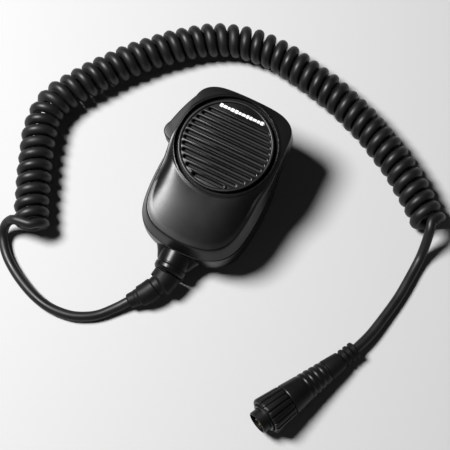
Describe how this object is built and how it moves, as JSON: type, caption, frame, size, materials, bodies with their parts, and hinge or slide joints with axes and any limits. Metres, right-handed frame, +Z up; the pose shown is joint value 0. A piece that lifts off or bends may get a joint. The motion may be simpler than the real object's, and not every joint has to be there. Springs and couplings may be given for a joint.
{
  "type": "hand microphone",
  "caption": "Black hand microphone with a round slotted grille, side push-to-talk lever, rear hanging stud, curly cord and round screw-on multi-pin plug",
  "frame": {"origin": "middle of the footprint of the microphone itself, without its cord and plug, on the table it lies on", "axes": "+Y along the microphone from its cord to its top, +X to its right as seen from the grille side, +Z up out of the table, the way the grille faces"},
  "size_m": [0.2224, 0.1956, 0.0421],
  "materials": {
    "shell": "fine moulded grain, satin black",
    "lever": "satin black",
    "grille": "satin black, smooth ribs",
    "cloth": "woven black acoustic cloth",
    "badge": "bright plated strip",
    "cord": "satin black jacket",
    "boot": "matte black rubber",
    "plug_body": "satin black plastic",
    "steel": "plated steel",
    "brass": "gold plated",
    "board": "green laminate",
    "switch_body": "moulded dark plastic",
    "nylon": "natural nylon"
  },
  "bodies": {
    "case": {"front_shell": "shell", "rear_shell": "shell", "grille_disc": "grille", "grille_cloth": "cloth", "badge_strip": "badge", "cord_tail": "cord", "cord_lead_mic": "cord", "cord_curl": "cord", "cord_lead_plug": "cord", "mic_boot": "boot", "plug_boot": "boot", "shell_gasket": "boot", "cartridge_ring": "boot", "plug_shell": "plug_body", "plug_barrel": "plug_body", "mic_cartridge": "steel", "ptt_pivot_pin": "steel", "ptt_spring": "steel", "hanger_stud": "steel", "stud_screw": "steel", "plug_ring_retainer": "steel", "shell_screw_1": "steel", "shell_screw_2": "steel", "shell_screw_3": "steel", "shell_screw_4": "steel", "board_screw_1": "steel", "board_screw_2": "steel", "board_screw_3": "steel", "clamp_screw_1": "steel", "clamp_screw_2": "steel", "plug_pin_1": "brass", "plug_pin_2": "brass", "plug_pin_3": "brass", "plug_pin_4": "brass", "plug_pin_5": "brass", "plug_pin_6": "brass", "plug_pin_7": "brass", "plug_pin_8": "brass", "circuit_board": "board", "ptt_switch": "switch_body", "plug_insert": "switch_body", "wire_connector": "nylon", "cord_clamp": "nylon"},
    "lever": {"ptt_lever": "lever"},
    "plunger": {"switch_plunger": "brass"},
    "ring": {"plug_coupling_ring": "plug_body"}
  },
  "joints": [
    {"name": "ptt_press", "type": "hinge", "parent": "case", "child": "lever", "pos_m": [-0.0214, 0.05105, 0.02748], "axis": [0, -0.1068, 0.9943], "range_deg": [0, 6], "stiffness_Nm_per_rad": 0.5, "springref_deg": -5.73, "deforming": ["ptt_spring"]},
    {"name": "plunger_travel", "type": "slide", "parent": "case", "child": "plunger", "axis": [1, 0, 0], "range_m": [0, 0.0019]},
    {"name": "ring_turn", "type": "hinge", "parent": "case", "child": "ring", "pos_m": [0.08207, -0.07052, 0.00911], "axis": [-0.427, -0.8993, 0.0941], "continuous": true}
  ],
  "couplings": [
    {"joint": "plunger_travel", "follows": "ptt_press", "m_per_rad": 0.0172}
  ]
}
